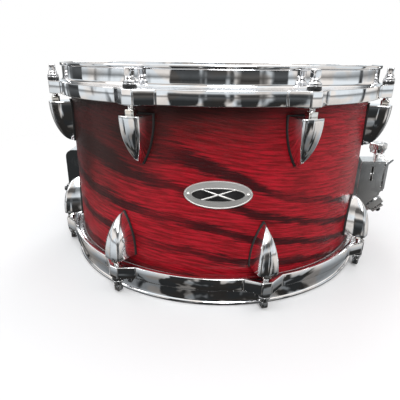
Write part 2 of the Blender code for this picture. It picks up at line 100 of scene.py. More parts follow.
def skin(rings, stack_closed=False, capped=False):
    """A bmesh skinned over closed rings of points that all have the same count."""
    work = bmesh.new()
    made = [[work.verts.new(point) for point in ring] for ring in rings]
    pairs = list(zip(made, made[1:])) + ([(made[-1], made[0])] if stack_closed else [])
    for ring, after in pairs:
        for place in range(len(ring)):
            ahead = (place + 1) % len(ring)
            work.faces.new((ring[place], ring[ahead], after[ahead], after[place]))
    if capped:
        work.faces.new(made[0])
        work.faces.new(made[-1])
    return work


def turned(profile, steps=FINE_STEPS):
    """A closed profile of (radius, height) turned about the Z axis."""
    turns = [2 * math.pi * step / steps for step in range(steps)]
    rings = [[(r * math.sin(turn), -r * math.cos(turn), z) for r, z in profile] for turn in turns]
    return skin(rings, stack_closed=True)


def arc(centre, radius, start, end, count=4):
    """Points on an arc from one angle to another, in degrees, both ends included."""
    turns = [math.radians(start + (end - start) * place / (count - 1)) for place in range(count)]
    return [(centre[0] + radius * math.cos(turn), centre[1] + radius * math.sin(turn)) for turn in turns]


def cut(piece, work, sharp=38):
    """Cuts a closed bmesh out of a piece."""
    bmesh.ops.recalc_face_normals(work, faces=work.faces)
    mesh = bpy.data.meshes.new("cutter")
    work.to_mesh(mesh)
    work.free()
    cutter = bpy.data.objects.new("cutter", mesh)
    bpy.context.scene.collection.objects.link(cutter)
    modifier = piece.modifiers.new("cut", "BOOLEAN")
    modifier.object = cutter
    bpy.context.view_layer.update()
    result = bpy.data.meshes.new_from_object(piece.evaluated_get(bpy.context.evaluated_depsgraph_get()))
    piece.modifiers.clear()
    piece.data = result
    result.set_sharp_from_angle(angle=math.radians(sharp))
    bpy.data.objects.remove(cutter)


def repaint(piece, finish, chosen):
    """Gives a second finish to the faces whose centre passes a test."""
    piece.data.materials.append(finish)
    for face in piece.data.polygons:
        if chosen(face.center):
            face.material_index = len(piece.data.materials) - 1


def new_finish(name, **settings):
    """A material, its node tree and its Principled shader, with these values on the shader's sockets."""
    finish = bpy.data.materials.new(name)
    finish.use_nodes = True
    shader = finish.node_tree.nodes["Principled BSDF"]
    for socket, value in settings.items():
        shader.inputs[socket.replace("_", " ")].default_value = value
    return finish, finish.node_tree, shader


def new_effect(name, inputs, outputs):
    """An empty shader node group, with the sockets of its two ends."""
    effect = bpy.data.node_groups.new(name, "ShaderNodeTree")
    for label, value in inputs.items():
        socket = effect.interface.new_socket(label, in_out="INPUT", socket_type="NodeSocketFloat")
        socket.default_value = value
    for label in outputs:
        effect.interface.new_socket(label, in_out="OUTPUT", socket_type="NodeSocketFloat")
    return effect, effect.nodes.new("NodeGroupInput").outputs, effect.nodes.new("NodeGroupOutput").inputs


def add_node(tree, kind, inputs=(), **settings):
    """A shader node with its settings, its sockets set to values or linked."""
    node = tree.nodes.new("ShaderNode" + kind)
    for setting, value in settings.items():
        setattr(node, setting, value)
    for socket, value in dict(inputs).items():
        if isinstance(value, bpy.types.NodeSocket):
            tree.links.new(value, node.inputs[socket])
        else:
            node.inputs[socket].default_value = value
    return node


def maths(tree, operation, *values):
    return add_node(tree, "Math", enumerate(values), operation=operation).outputs[0]


def noise(tree, place, scale, detail=2.0, roughness=0.5):
    inputs = {"Vector": place, "Scale": scale, "Detail": detail, "Roughness": roughness}
    return add_node(tree, "TexNoise", inputs).outputs["Fac"]


def object_point(tree):
    return add_node(tree, "TexCoord").outputs["Object"]


def axis_distance(tree, place):
    """How far a point is from the Z axis."""
    flat = add_node(tree, "SeparateXYZ", {0: place}).outputs
    across = maths(tree, "MULTIPLY", flat["Y"], flat["Y"])
    return maths(tree, "SQRT", maths(tree, "MULTIPLY_ADD", flat["X"], flat["X"], across))


def stepped(tree, value, start, end, low=0.0, high=1.0):
    """A smooth step from low to high as the value goes from start to end."""
    inputs = {"Value": value, "From Min": start, "From Max": end, "To Min": low, "To Max": high}
    return add_node(tree, "MapRange", inputs, interpolation_type="SMOOTHSTEP").outputs["Result"]


def blended(tree, share, first, second):
    """A colour between two colours."""
    first, second = [(*c, 1.0) if isinstance(c, tuple) else c for c in (first, second)]
    return add_node(tree, "Mix", {0: share, 6: first, 7: second}, data_type="RGBA").outputs[2]


def painted(tree, shader, colour, roughness):
    """Feeds a colour and a roughness to a finish's shader."""
    tree.links.new(colour, shader.inputs["Base Color"])
    tree.links.new(roughness, shader.inputs["Roughness"])


def relief(tree, shader, height, depth):
    """Feeds a height to the shader's normal as a bump that is this deep."""
    bump = add_node(tree, "Bump", {"Height": height, "Distance": depth, "Strength": 1.0})
    tree.links.new(bump.outputs["Normal"], shader.inputs["Normal"])


def mottled(name, texture, dark, light, smoothest, spread, bump=0.0, **settings):
    """A finish that is not a metal, its colour and roughness varying a little."""
    finish, tree, shader = new_finish(name, **settings)
    cloud = noise(tree, object_point(tree), *texture)
    colour = blended(tree, cloud, dark, light)
    painted(tree, shader, colour, maths(tree, "MULTIPLY_ADD", cloud, spread, smoothest))
    if bump:
        relief(tree, shader, cloud, bump)
    return finish


FIGURE_HEIGHT, FIGURE_TIP = 0.154, 0.009
FIGURE_DRIFT, FIGURE_FAN, FIGURE_WIDTH = 0.018, 2.27, 1.08
GRAIN_SLOPE, GRAIN_WANDER = 0.10, 0.6
BAND_START, BAND_SPACING = 0.0706, 0.0265
HEART_START, HEART_END = 0.130, 0.142

grain, given, made = new_effect("veneer_grain", {"Radius": SHELL_RADIUS}, ("Band", "Streak", "Pore"))
place = object_point(grain)
along = add_node(grain, "SeparateXYZ", {0: place}).outputs
azimuth = maths(grain, "ARCTAN2", along["X"], maths(grain, "MULTIPLY", along["Y"], -1.0))
round_drum = maths(grain, "MULTIPLY", azimuth, given["Radius"])
sideways = maths(grain, "MULTIPLY", maths(grain, "SINE", azimuth), FIGURE_WIDTH)
fanned = maths(grain, "MULTIPLY", sideways, given["Radius"])
wander = maths(grain, "MULTIPLY_ADD", noise(grain, place, 9.0, 1.0), 0.024, -0.012)
ragged = maths(grain, "MULTIPLY_ADD", noise(grain, place, 42.0, 3.0), 0.008, -0.004)
height = maths(grain, "ADD", along["Z"], maths(grain, "ADD", wander, ragged))
off_axis = maths(grain, "SUBTRACT", height, FIGURE_HEIGHT)
spread = maths(grain, "SQRT", maths(grain, "MULTIPLY_ADD", off_axis, off_axis, FIGURE_TIP**2))
folded = maths(grain, "SUBTRACT", maths(grain, "MULTIPLY_ADD", fanned, FIGURE_DRIFT, FIGURE_HEIGHT), spread)
figure = maths(grain, "DIVIDE", folded, maths(grain, "MULTIPLY_ADD", fanned, -FIGURE_FAN, 1.0))
leaning = maths(grain, "MULTIPLY_ADD", fanned, GRAIN_SLOPE, maths(grain, "MULTIPLY", wander, GRAIN_WANDER))
sloping = maths(grain, "ADD", along["Z"], leaning)


def laid_along(across, lengthwise):
    """Unrolled veneer coordinates, squeezed so that noise on them makes marks along the grain."""
    unrolled = {
        0: maths(grain, "MULTIPLY", round_drum, lengthwise),
        1: maths(grain, "MULTIPLY", sloping, across),
    }
    return add_node(grain, "CombineXYZ", unrolled).outputs[0]


streak = noise(grain, laid_along(520.0, 34.0), 1.0, 4.0, 0.65)
pore = stepped(grain, noise(grain, laid_along(950.0, 105.0), 1.0, 2.0, 0.6), 0.50, 0.66)
bands = maths(grain, "DIVIDE", maths(grain, "SUBTRACT", figure, BAND_START), BAND_SPACING)
ring = maths(grain, "PINGPONG", bands, 0.5)
widened = stepped(grain, along["Z"], 0.108, 0.138, 0.265, 0.37)
frayed = maths(grain, "MULTIPLY_ADD", streak, 0.52, maths(grain, "SUBTRACT", ring, widened))
fading = stepped(grain, noise(grain, place, 13.0, 1.0), 0.34, 0.56, 0.45, 1.0)
fading = maths(grain, "MULTIPLY", fading, stepped(grain, figure, HEART_START, HEART_END, 1.0, 0.0))
band = maths(grain, "MULTIPLY", stepped(grain, frayed, 0.06, 0.27, 1.0, 0.0), fading)
for label, value in (("Band", band), ("Streak", streak), ("Pore", pore)):
    grain.links.new(value, made[label])

stained, tree, shader = new_finish(
    "red_stained_ash", Coat_Roughness=0.24, Coat_Weight=0.14, Specular_IOR_Level=0.14
)
veneer = add_node(tree, "Group", node_tree=grain).outputs
place = object_point(tree)
parts = add_node(tree, "SeparateXYZ", {0: place}).outputs
cloud = noise(tree, place, 16.0, 3.0)
colour = blended(tree, stepped(tree, veneer["Streak"], 0.36, 0.66), STAIN_DEEP, STAIN_BRIGHT)
colour = blended(tree, maths(tree, "MULTIPLY", veneer["Band"], 0.90), colour, STAIN_DARK)
pores = maths(tree, "MULTIPLY", veneer["Pore"], maths(tree, "MULTIPLY_ADD", veneer["Band"], 0.5, 0.22))
colour = blended(tree, pores, colour, STAIN_DARK)
# The stain darkens in a burst towards the top and bottom edges. The top burst also reaches much lower on the
# left (-X) side, and that lean is painted shade, where less light falls on the drum's left.
edge = maths(tree, "ADD", parts["Z"], maths(tree, "MULTIPLY_ADD", cloud, 0.070, -0.035))
left_shaded_height = maths(tree, "MULTIPLY_ADD", parts["X"], -0.38, edge)
top_burst_and_left_shade = stepped(tree, left_shaded_height, 0.112, 0.186, 0.0, 0.90)
lower = stepped(tree, edge, 0.018, 0.034, 0.30, 0.0)
colour = blended(tree, maths(tree, "MAXIMUM", top_burst_and_left_shade, lower), colour, STAIN_BURST_AND_SHADE)
painted(tree, shader, colour, maths(tree, "MULTIPLY_ADD", veneer["Pore"], 0.16, 0.40))
relief(tree, shader, maths(tree, "MULTIPLY_ADD", veneer["Pore"], -1.0, veneer["Streak"]), 0.00012)

natural, tree, shader = new_finish("natural_ply")
veneer = add_node(tree, "Group", node_tree=grain).outputs
colour = blended(tree, maths(tree, "MULTIPLY", veneer["Band"], 0.55), NATURAL_LIGHT, NATURAL_DARK)
colour = blended(tree, maths(tree, "MULTIPLY", veneer["Pore"], 0.35), colour, NATURAL_DARK)
painted(tree, shader, colour, maths(tree, "MULTIPLY_ADD", veneer["Streak"], 0.2, 0.48))
relief(tree, shader, veneer["Streak"], 0.00015)

crest = SHELL_RADIUS - EDGE_ROUND
inner = SHELL_RADIUS - SHELL_WALL
slope = crest - inner
straight = SHELL_TOP - SHELL_BOTTOM - 2 * EDGE_ROUND
heights = [SHELL_BOTTOM + EDGE_ROUND + straight * step / 12 for step in range(13)]
work = turned([
    *[(SHELL_RADIUS, height) for height in heights[:-1]],
    *arc((crest, SHELL_TOP - EDGE_ROUND), EDGE_ROUND, 0, 90, 5),
    (inner + 0.0003, SHELL_TOP - slope + 0.0003), (inner, SHELL_TOP - slope - 0.0006),
    (inner, SHELL_BOTTOM + slope + 0.0006), (inner + 0.0003, SHELL_BOTTOM + slope - 0.0003),
    *arc((crest, SHELL_BOTTOM + EDGE_ROUND), EDGE_ROUND, -90, -18, 4),
])
for vert in work.verts:
    away = abs(abs(math.atan2(vert.co.x, -vert.co.y)) - math.pi / 2)
    if vert.co.z < SHELL_BOTTOM + slope / 2 and away < SNARE_BED_SPAN / 2:
        vert.co.z += SNARE_BED_DEPTH * math.cos(math.pi * away / SNARE_BED_SPAN) ** 2
shell = add_piece("ash_shell", work, stained, stands_for=["shell"])
repaint(shell, natural, lambda centre: math.hypot(centre.x, centre.y) < SHELL_RADIUS - VENEER_DEPTH)


# Badge
# A cast oval plate bent to the shell and held by two round-headed pins. Its rim is brushed silver, its field
# is black enamel, and the emblem on it is a plain pair of crossed drumsticks.

BADGE_HEIGHT = 0.1050
BADGE_HALF_WIDTH, BADGE_HALF_HEIGHT = 0.0290, 0.0125
BADGE_SURFACE = SHELL_RADIUS + 0.0005
PIN_SPREAD = 0.0252
STICK_LENGTH, STICK_TILT = 0.0300, math.radians(19)

handled, given, made = new_effect(
    "handled_metal", {"Polish": 0.05, "Dulling": 0.12}, ("Roughness", "Film", "Ripple")
)
place = object_point(handled)
smear = stepped(handled, noise(handled, place, 55.0, 5.0, 0.62), 0.42, 0.72)
specks = stepped(handled, noise(handled, place, 900.0, 2.0), 0.62, 0.74)
film = maths(handled, "MAXIMUM", smear, maths(handled, "MULTIPLY", specks, 0.6))
handled.links.new(maths(handled, "MULTIPLY_ADD", film, given["Dulling"], given["Polish"]), made["Roughness"])
handled.links.new(film, made["Film"])
waves = noise(handled, place, 46.0, 1.0)
ripples = maths(handled, "MULTIPLY_ADD", noise(handled, place, 210.0, 1.0), 0.12, waves)
handled.links.new(ripples, made["Ripple"])


def plated(name, bright, dull, polish=0.03, dulling=0.09, ripple=0.00008):
    """A polished metal finish: clean areas mirror, and handled areas are duller and rougher."""
    finish, tree, shader = new_finish(name, Metallic=1.0)
    wear = add_node(tree, "Group", {"Polish": polish, "Dulling": dulling}, node_tree=handled).outputs
    painted(tree, shader, blended(tree, wear["Film"], bright, dull), wear["Roughness"])
    relief(tree, shader, wear["Ripple"], ripple)
    return finish


def on_shell(across, height, proud):
    """A point at an arc length from the badge's middle, a height, and a distance off the badge's seat."""
    radius = BADGE_SURFACE + proud
    turn = across / SHELL_RADIUS
    return (radius * math.sin(turn), -radius * math.cos(turn), height)


def rim_width(share):
    """How far inside the plate's edge the ring at this share lies."""
    return (1 - share) * BADGE_HALF_WIDTH * 0.62


badge_silver = plated("badge_silver", (0.98, 0.97, 0.95), (0.86, 0.85, 0.83), 0.46, 0.08, 0.00003)
enamel = mottled(
    "black_enamel", (400.0, 3.0), (0.004, 0.004, 0.004), (0.016, 0.016, 0.017), 0.22, 0.2,
    Coat_Weight=0.6, Coat_Roughness=0.08,
)

OVAL_STEPS = 72
FIELD_EDGE, FIELD_MIDDLE = 0.612, 0.59
BADGE_SECTION = (
    (1.00, 0.0), (1.00, 0.0007), (0.985, 0.0011), (0.95, 0.0012), (0.93, 0.0008), (0.66, 0.0009),
    (0.645, 0.0012), (0.615, 0.0012), (0.60, 0.0006), (0.30, 0.0008), (0.02, 0.0009),
)
turns = [2 * math.pi * step / OVAL_STEPS for step in range(OVAL_STEPS)]
plate_rings = []
for share, proud in BADGE_SECTION:
    half_width, half_height = BADGE_HALF_WIDTH - rim_width(share), BADGE_HALF_HEIGHT - rim_width(share)
    if share < FIELD_MIDDLE:
        half_width, half_height = share * BADGE_HALF_WIDTH, share * BADGE_HALF_HEIGHT
    plate_rings.append([
        on_shell(half_width * math.cos(t), BADGE_HEIGHT + half_height * math.sin(t), proud) for t in turns
    ])
work = skin(plate_rings, capped=True)
badge = add_piece("oval_badge", work, badge_silver, stands_for=["badge"])


def in_badge_field(centre):
    rim = rim_width(FIELD_EDGE)
    across = SHELL_RADIUS * math.atan2(centre.x, -centre.y) / (BADGE_HALF_WIDTH - rim)
    up = (centre.z - BADGE_HEIGHT) / (BADGE_HALF_HEIGHT - rim)
    return math.hypot(across, up) < 1 and math.hypot(centre.x, centre.y) > BADGE_SURFACE + 0.0004


repaint(badge, enamel, in_badge_field)

STICK_SECTION = (
    (0.0, 0.0004), (0.02, 0.0008), (0.30, 0.0009), (0.80, 0.0006), (0.90, 0.0004), (0.92, 0.0004),
    (0.94, 0.0008), (0.975, 0.0009), (1.0, 0.0003),
)
for number, tilt in enumerate((STICK_TILT, math.pi - STICK_TILT), 1):
    rings = []
    for share, half in STICK_SECTION:
        length = STICK_LENGTH * (share - 0.5)
        ring = []
        for turn in (math.pi * side / 6 for side in range(7)):
            across = length * math.cos(tilt) - half * math.cos(turn) * math.sin(tilt)
            up = length * math.sin(tilt) + half * math.cos(turn) * math.cos(tilt)
            ring.append(on_shell(across, BADGE_HEIGHT + up, 0.0008 + half * math.sin(turn) * 0.8))
        rings.append(ring)
    add_piece(f"badge_stick_{number}", skin(rings, capped=True), badge_silver)

PIN_SECTION = ((0.0013, 0.0008), (0.0013, 0.0014), (0.0010, 0.0018), (0.0005, 0.0020), (0.0, 0.0020))
turns = [2 * math.pi * step / 20 for step in range(20)]
for number, side in enumerate((-PIN_SPREAD, PIN_SPREAD), 1):
    rings = [
        [on_shell(side + radius * math.cos(t), BADGE_HEIGHT + radius * math.sin(t), proud) for t in turns]
        for radius, proud in PIN_SECTION
    ]
    add_piece(f"badge_pin_{number}", skin(rings), badge_silver)


# Vent
# A brass eyelet, chromed and rolled over on both faces of the shell, lets air out through a hole at the back.

vent_low, vent_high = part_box("vent_grommet")
VENT_HEIGHT = (vent_low.z + vent_high.z) / 2
FLANGE, THROAT = (vent_high.z - vent_low.z) / 2, 0.0047
VENT_HOLE = 0.0057
outside, inside = SHELL_RADIUS, SHELL_RADIUS - SHELL_WALL
eyelet = [
    *arc((FLANGE - 0.0008, outside), 0.0008, 0, 90, 4),
    *arc((THROAT + 0.0013, outside - 0.0004), 0.0013, 90, 180, 5),
    *arc((THROAT + 0.0010, inside), 0.0010, 180, 270, 5),
    (0.0068, inside - 0.0006), (0.0068, inside - 0.0002), (0.0056, inside),
    (0.0056, outside - 0.0002), (0.0060, outside + 0.0001),
]
chrome_eyelet = plated("eyelet_chrome", (0.86, 0.86, 0.87), (0.70, 0.70, 0.71))
work = turned(eyelet, 64)
work.transform(Matrix.Translation((0, 0, VENT_HEIGHT)) @ Matrix.Rotation(math.radians(-90), 4, "X"))
add_piece("vent_eyelet", work, chrome_eyelet, stands_for=["vent_grommet"])
cut(shell, skin([
    [(VENT_HOLE * math.cos(t), y, VENT_HEIGHT + VENT_HOLE * math.sin(t))
     for t in (math.pi * step / 20 for step in range(40))]
    for y in (inside - 0.01, outside + 0.01)
], capped=True))


# Lugs
# Each lug is a hollow zinc casting like half a pointed arch, chromed, on a thin black rubber gasket. Two
# screws from inside hold it to the shell, and a swivel nut stands out of its flat end.

ROWS = (("top", False), ("bottom", True))
LUG_NUMBERS = range(1, 9)
LUG_END_DEPTH = 0.0375
LUG_LENGTH = 0.0415
LUG_HALF_WIDTH = 0.0110
LUG_REACH = 0.0210
LUG_SEAT = 0.0016
GASKET_LIP = 0.0007
NUT_SIDE, NUT_HEIGHT = 0.0078, 0.0048
NUT_BORE = 0.0031
LUG_SCREW_PLACES = (0.012, 0.028)
LUG_STEPS, LUG_BUNCHING, LUG_ROUND = 26, 1.6, 0.0022


def azimuth_of(node):
    low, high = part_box(node)
    middle = (low + high) / 2
    return math.atan2(middle.x, -middle.y)


def seated(work, azimuth, bottom, reach=0.0):
    """Places a bmesh made pointing along +X, with its hoop's lip at z = 0 and the shell below it."""
    turn = Matrix.Rotation(azimuth - math.pi / 2, 4, "Z") @ Matrix.Translation((reach, 0, 0))
    if bottom:
        work.transform(turn @ Matrix.Rotation(math.pi, 4, "X"))
    else:
        work.transform(Matrix.Translation((0, 0, DRUM_HEIGHT)) @ turn)
    return work


def softened(points, radius, closed=False, count=4):
    """The outline with each corner rounded by a short curve that starts this far from it."""
    result = []
    for place, corner in enumerate(points):
        if not closed and place in (0, len(points) - 1):
            result.append(corner)
            continue
        corner = Vector(corner)
        before, after = Vector(points[place - 1]), Vector(points[(place + 1) % len(points)])
        start = corner + (before - corner) * min(0.45, radius / (before - corner).length)
        end = corner + (after - corner) * min(0.45, radius / (after - corner).length)
        for share in (step / (count - 1) for step in range(count)):
            result.append(tuple(start * (1 - share) ** 2 + corner * 2 * share * (1 - share) + end * share**2))
    return result


def rounded_square(half, count=48, power=7):
    """The corners of a square section with soft corners, as (x, y) points."""
    turns = [2 * math.pi * (side + 0.5) / count for side in range(count)]
    reach = [half / (abs(math.cos(t)) ** power + abs(math.sin(t)) ** power) ** (1 / power) for t in turns]
    return [(r * math.cos(t), r * math.sin(t)) for r, t in zip(reach, turns)]


def circle(radius, count=48):
    turns = [2 * math.pi * (side + 0.5) / count for side in range(count)]
    return [(radius * math.cos(t), radius * math.sin(t)) for t in turns]


def lug_half_width(share):
    return LUG_HALF_WIDTH * (1 - min(share, 1.0) ** 2.3)


def lug_casting():
    section = [(-1, 0), (-0.97, 0.45), (-0.82, 0.93), (0, 1.0), (0.82, 0.93), (0.97, 0.45), (1, 0)]
    base = SHELL_RADIUS + LUG_SEAT
    stations = [(0.0, 0.0009), (0.0, 0.0003), (0.006, 0.0001), (0.018, 0.0)]
    for step in range(1, LUG_STEPS + 1):
        stations.append((0.018 + 0.977 * (1 - (1 - step / LUG_STEPS) ** LUG_BUNCHING), 0.0))
    rings = []
    for share, inset in stations:
        half = max(lug_half_width(share) - inset, 0.0001)
        reach = max(LUG_REACH * math.sqrt(1 - share**2) - inset, 0.0001)
        flat = softened([(half * across, reach * out) for across, out in section], LUG_ROUND, count=5)
        depth = LUG_END_DEPTH + LUG_LENGTH * share
        rings.append([(base + out, across, -depth) for across, out in flat])
    return skin(rings, capped=True)


def lug_gasket():
    rings = []
    outer = SHELL_RADIUS + LUG_SEAT + 0.0002
    for share in (*[step / 24 for step in range(24)], 0.985, 1.0):
        half = lug_half_width(share) + GASKET_LIP
        depth = LUG_END_DEPTH + LUG_LENGTH * share + GASKET_LIP * (2 * share - 1)
        hug = math.sqrt(SHELL_RADIUS**2 - half**2)
        rings.append([
            (hug, -half, -depth), (outer - 0.0004, -half, -depth), (outer, -half + 0.0004, -depth),
            (outer, half - 0.0004, -depth), (outer - 0.0004, half, -depth), (hug, half, -depth),
            (SHELL_RADIUS, 0, -depth),
        ])
    return skin(rings, capped=True)


def swivel_nut():
    end, half = LUG_END_DEPTH, NUT_SIDE / 2
    levels = [
        (rounded_square(half), end + 0.0004), (rounded_square(half), end - NUT_HEIGHT + 0.0006),
        (rounded_square(half - 0.0002), end - NUT_HEIGHT + 0.0002),
        (rounded_square(half - 0.0006), end - NUT_HEIGHT),
        (circle(NUT_BORE + 0.0002), end - NUT_HEIGHT), (circle(NUT_BORE), end - NUT_HEIGHT + 0.0003),
        (circle(NUT_BORE), end),
    ]
    return skin([[(x, y, -depth) for x, y in outline] for outline, depth in levels])


def pan_screw(radius, height, shank, length, key=0.45, sides=4):
    """A domed screw head on z = 0 with a keyed recess, pointing up, and its shank below."""
    count = 24
    turns = [2 * math.pi * (side + 0.5) / count for side in range(count)]
    wedge = 2 * math.pi / sides
    key_edge = [key * radius / math.cos((t % wedge) - wedge / 2) for t in turns]
    rings = [[shank] * count, [shank] * count, [radius] * count, [radius] * count, [radius * 0.94] * count,
             [radius * 0.80] * count, key_edge, key_edge, [key * radius * 0.3] * count]
    levels = [-length, 0.0, 0.0, height * 0.5, height * 0.85, height, height, height * 0.35, height * 0.3]
    return skin([
        [(r * math.cos(t), r * math.sin(t), z) for r, t in zip(ring, turns)] for ring, z in zip(rings, levels)
    ], capped=True)


lug_chrome = plated("lug_chrome", (0.90, 0.90, 0.91), (0.76, 0.76, 0.77))
nut_nickel = plated("nut_nickel", (0.80, 0.78, 0.74), (0.58, 0.56, 0.52), 0.10, 0.18)
screw_steel = plated("screw_steel", (0.56, 0.56, 0.57), (0.30, 0.30, 0.30), 0.20, 0.25, 0.00004)
rubber = mottled(
    "black_rubber", (700.0, 4.0, 0.7), (0.006, 0.006, 0.006), (0.022, 0.021, 0.021), 0.45, 0.3, 0.0001
)

ROD_AZIMUTHS = {
    row: [azimuth_of(f"{row}_tension_rod_{number}") for number in LUG_NUMBERS] for row, _ in ROWS
}
rod_low, rod_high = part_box("top_tension_rod_1")
ROD_CIRCLE = math.hypot((rod_low.x + rod_high.x) / 2, (rod_low.y + rod_high.y) / 2)
for row, bottom in ROWS:
    for number, azimuth in zip(LUG_NUMBERS, ROD_AZIMUTHS[row]):
        node = f"{row}_lug_{number}"
        work = seated(lug_casting(), azimuth, bottom)
        add_piece(f"{node}_casting", work, lug_chrome, stands_for=[node])
        add_piece(f"{node}_gasket", seated(lug_gasket(), azimuth, bottom), rubber)
        work = seated(swivel_nut(), azimuth, bottom, ROD_CIRCLE)
        add_piece(f"{node}_swivel_nut", work, nut_nickel)
        for order, down in enumerate(LUG_SCREW_PLACES, 1):
            work = pan_screw(0.0042, 0.0024, 0.0020, 0.0060)
            work.transform(Matrix.Rotation(math.radians(-90), 4, "Y"))
            work.transform(Matrix.Translation((inner, 0, -LUG_END_DEPTH - down)))
            add_piece(f"{node}_screw_{order}", seated(work, azimuth, bottom), screw_steel)


# Heads
# The batter head is a polyester film sprayed with a white coating that takes brushes; the snare-side head is
# thinner, clear and hazy. Each is formed over the shell's edge and locked in a round aluminium flesh hoop.

FILM_SKIRT_END = 0.0250
FLESH_INNER, FLESH_OUTER = 0.1662, 0.1716
FLESH_TOP, FLESH_END = 0.0163, 0.0255
HEAD_FACE = DRUM_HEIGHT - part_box("batter_head")[1].z
FILM = 0.0004

COATING_DARK, COATING_LIGHT, COATING_WORN = (0.47, 0.47, 0.455), (0.62, 0.62, 0.60), (0.40, 0.40, 0.40)

coated, tree, shader = new_finish("sprayed_white_coating")
place = object_point(tree)
stipple = noise(tree, place, 1900.0, 3.0, 0.65)
middle = stepped(tree, axis_distance(tree, place), 0.020, 0.085, 1.0, 0.0)
played = maths(tree, "MULTIPLY", middle, stepped(tree, noise(tree, place, 70.0, 6.0, 0.75), 0.50, 0.66))
colour = blended(tree, stipple, COATING_DARK, COATING_LIGHT)
colour = blended(tree, maths(tree, "MULTIPLY", played, 0.45), colour, COATING_WORN)
painted(tree, shader, colour, maths(tree, "MULTIPLY_ADD", played, -0.2, 0.68))
relief(tree, shader, stipple, 0.00015)

hazy, tree, shader = new_finish("hazy_clear_film", Base_Color=(0.88, 0.90, 0.91, 1.0))
cloud = noise(tree, object_point(tree), 30.0, 5.0, 0.6)
tree.links.new(maths(tree, "MULTIPLY_ADD", cloud, 0.20, 0.42), shader.inputs["Alpha"])
tree.links.new(maths(tree, "MULTIPLY_ADD", cloud, 0.18, 0.12), shader.inputs["Roughness"])
relief(tree, shader, cloud, 0.00010)

brushed = plated("flesh_hoop_alloy", (0.74, 0.75, 0.76), (0.58, 0.59, 0.60), 0.24, 0.20, 0.00004)

skirt = SHELL_RADIUS + 0.0003
corner = 0.0006
for side, film_finish, film_slot, bottom in (("batter", coated, "coated_film", False),
                                             ("snare_side", hazy, "clear_film", True)):
    profile = [
        (0.0, -HEAD_FACE), *[(skirt * share, -HEAD_FACE) for share in (0.25, 0.5, 0.75, 0.95)],
        *arc((skirt - 0.0007, -HEAD_FACE - 0.0012), 0.0012, 90, 0, 6), (skirt + 0.0005, -FILM_SKIRT_END),
        (skirt, -FILM_SKIRT_END), *arc((skirt - 0.0009, -HEAD_FACE - 0.0013), 0.0009, 0, 90, 5),
        (0.0, -HEAD_FACE - FILM),
    ]
    work = seated(turned(profile), 0.0, bottom)
    add_piece(f"{side}_film", work, film_finish, stands_for=[f"{side}_head"])
    profile = [
        *arc((FLESH_OUTER - corner, -FLESH_TOP - corner), corner, 90, 0),
        *arc((FLESH_OUTER - corner, -FLESH_END + corner), corner, 0, -90),
        *arc((FLESH_INNER + corner, -FLESH_END + corner), corner, 270, 180),
        *arc((FLESH_INNER + corner, -FLESH_TOP - corner), corner, 180, 90),
    ]
    work = seated(turned(profile), 0.0, bottom)
    hoop_node = f"{side}_flesh_hoop"
    add_piece(f"{side}_flesh_channel", work, brushed, stands_for=[hoop_node])


# Hoops
# Die-cast zinc rings, chromed: a thin collar with a rolled lip stands above the head, a cove runs out into a
# heavier band below it, and eight flat-sided ears on the band take the rods. The lower hoop has two gates in
# its collar for the snare straps.

COLLAR_INNER, COLLAR_OUTER, LIP_OUTER = 0.1678, 0.1712, 0.1728
BAND_INNER, BAND_OUTER = 0.1722, 0.1762
BAND_DEPTH, SHELF_DEPTH, HOOP_HEIGHT = 0.0174, 0.0160, 0.0297
COVE, BAND_ROUND = 0.0040, 0.0009
EAR_REACH, EAR_FACE_HALF = 0.1855, 0.0046
EAR_ROOT_HALF, EAR_ROOT_REACH = 0.0212, 0.1735
EAR_HOLE = 0.0035
EAR_WINDOW, EAR_STEP, EAR_STEPS = 0.2, math.radians(0.17), 43
FACE_EASING, ROOT_EASING = 0.0005, 0.0007
GATE_HALF, GATE_TOP, GATE_BOTTOM = 0.0110, 0.0035, 0.0135
GATE_INNER, GATE_OUTER, GATE_ROUND = 0.160, 0.1765, 0.0030
HOLE_TOP, HOLE_BOTTOM = 0.012, 0.034

flank_lean = (EAR_REACH - EAR_ROOT_REACH) / (EAR_ROOT_HALF - EAR_FACE_HALF)


def eased(first, second, width, sign):
    """The lower (sign 1) or higher (sign -1) of two lengths, rounded where they cross."""
    blend = max(width - abs(first - second), 0.0) / width
    chosen = min(first, second) if sign > 0 else max(first, second)
    return chosen - sign * blend * blend * width / 4


def band_reach(azimuth, ears):
    """How far out the band stands: plain, or an ear's flat face and slanting flanks."""
    reach = BAND_OUTER
    for ear in ears:
        off = abs((azimuth - ear + math.pi) % (2 * math.pi) - math.pi)
        if off < EAR_WINDOW:
            face = EAR_REACH / math.cos(off)
            flank = (EAR_REACH + flank_lean * EAR_FACE_HALF) / (math.cos(off) + flank_lean * math.sin(off))
            reach = eased(reach, eased(face, flank, FACE_EASING, 1), ROOT_EASING, -1)
    return reach


def hoop_profile(reach):
    """The hoop's section as (radius, depth), for a band that stands out this far."""
    lip = 0.0009
    return [
        *arc((COLLAR_INNER + lip, lip), lip, 180, 270), *arc((LIP_OUTER - lip, lip), lip, -90, 0),
        (LIP_OUTER, 0.0023), (LIP_OUTER - 0.0003, 0.0030),
        (COLLAR_OUTER + 0.0001, 0.0037), (COLLAR_OUTER, 0.0046),
        *arc((COLLAR_OUTER + COVE, BAND_DEPTH - COVE), COVE, 180, 90, 8),
        *arc((reach - BAND_ROUND, BAND_DEPTH + BAND_ROUND), BAND_ROUND, -90, 0),
        *arc((reach - BAND_ROUND, HOOP_HEIGHT - BAND_ROUND), BAND_ROUND, 0, 90),
        *arc((BAND_INNER + 0.0006, HOOP_HEIGHT - 0.0006), 0.0006, 90, 180, 3),
        (BAND_INNER, SHELF_DEPTH), (COLLAR_INNER, SHELF_DEPTH),
    ]


